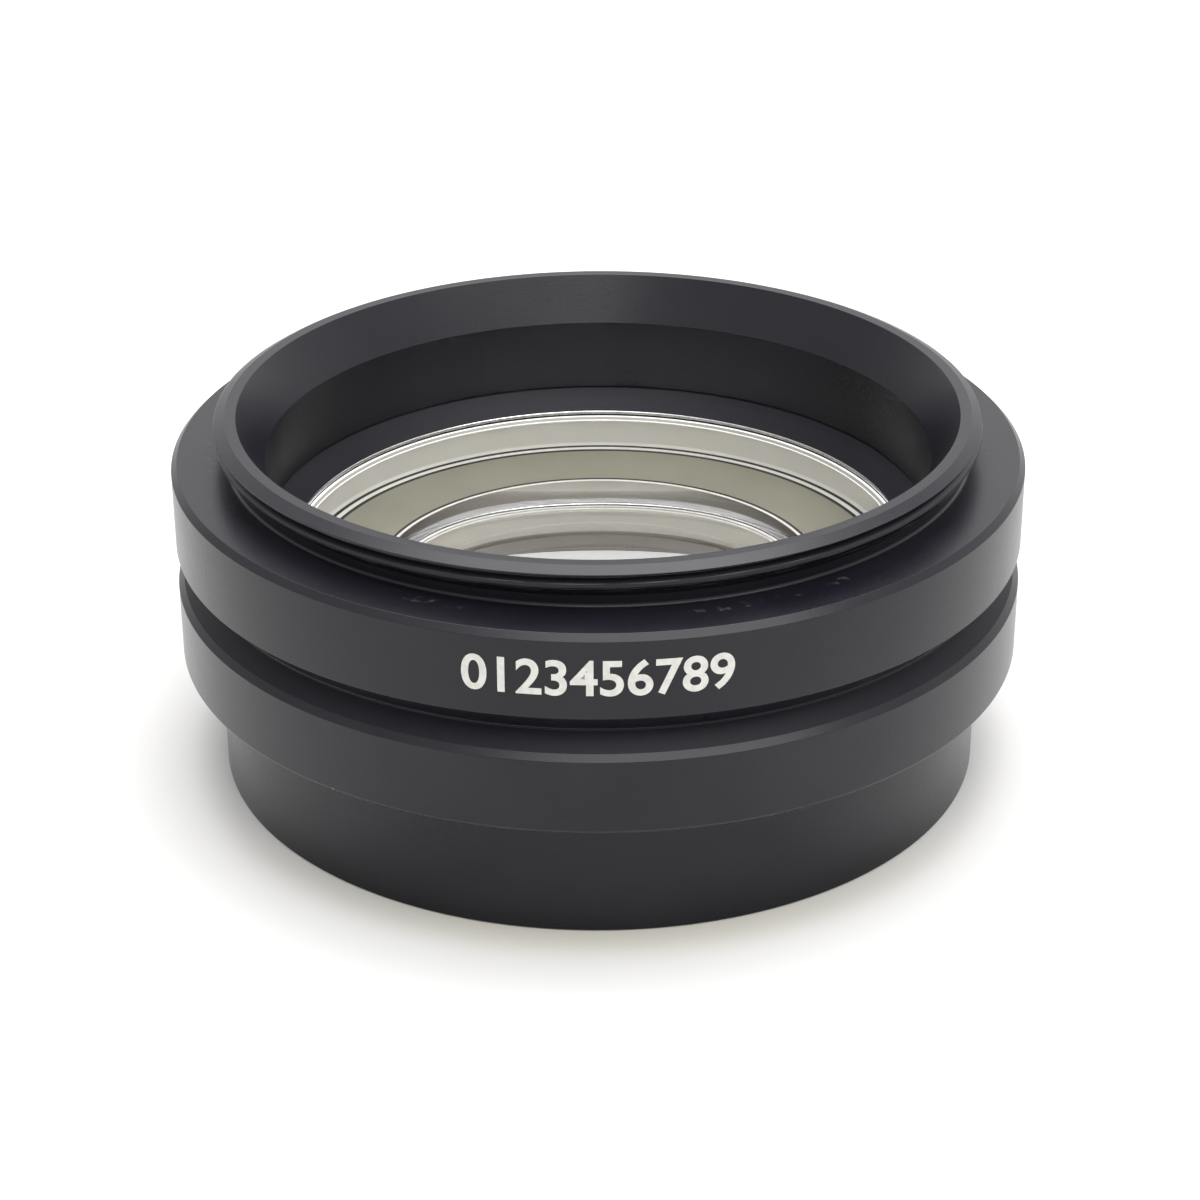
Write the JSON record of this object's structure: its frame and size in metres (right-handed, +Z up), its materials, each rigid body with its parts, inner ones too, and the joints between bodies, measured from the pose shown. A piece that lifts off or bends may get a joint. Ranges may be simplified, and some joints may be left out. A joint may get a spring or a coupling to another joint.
{
  "type": "stereo microscope objective",
  "caption": "Screw-on front objective for a stereo microscope: black anodised mount ring and barrel around air-spaced glass lenses.",
  "frame": {"origin": "centre of the open lower end of the barrel, on the optical axis", "axes": "+Z up along the optical axis, from the barrel's open end to the mounting thread; -Y towards the side that faces the camera"},
  "size_m": [0.0724, 0.0724, 0.0318],
  "materials": {
    "mount_ring": "satin black anodised",
    "barrel": "satin black anodised",
    "upper_retaining_ring": "matt black anodised",
    "lower_retaining_ring": "bare aluminium, fine turned",
    "upper_lens": "polished faces, ground edge and margins",
    "lower_lens": "polished faces, ground edge and margin"
  },
  "bodies": {
    "root": {"mount_ring": "mount_ring", "barrel": "barrel", "upper_retaining_ring": "upper_retaining_ring", "lower_retaining_ring": "lower_retaining_ring", "upper_lens": "upper_lens", "lower_lens": "lower_lens"}
  },
  "joints": []
}
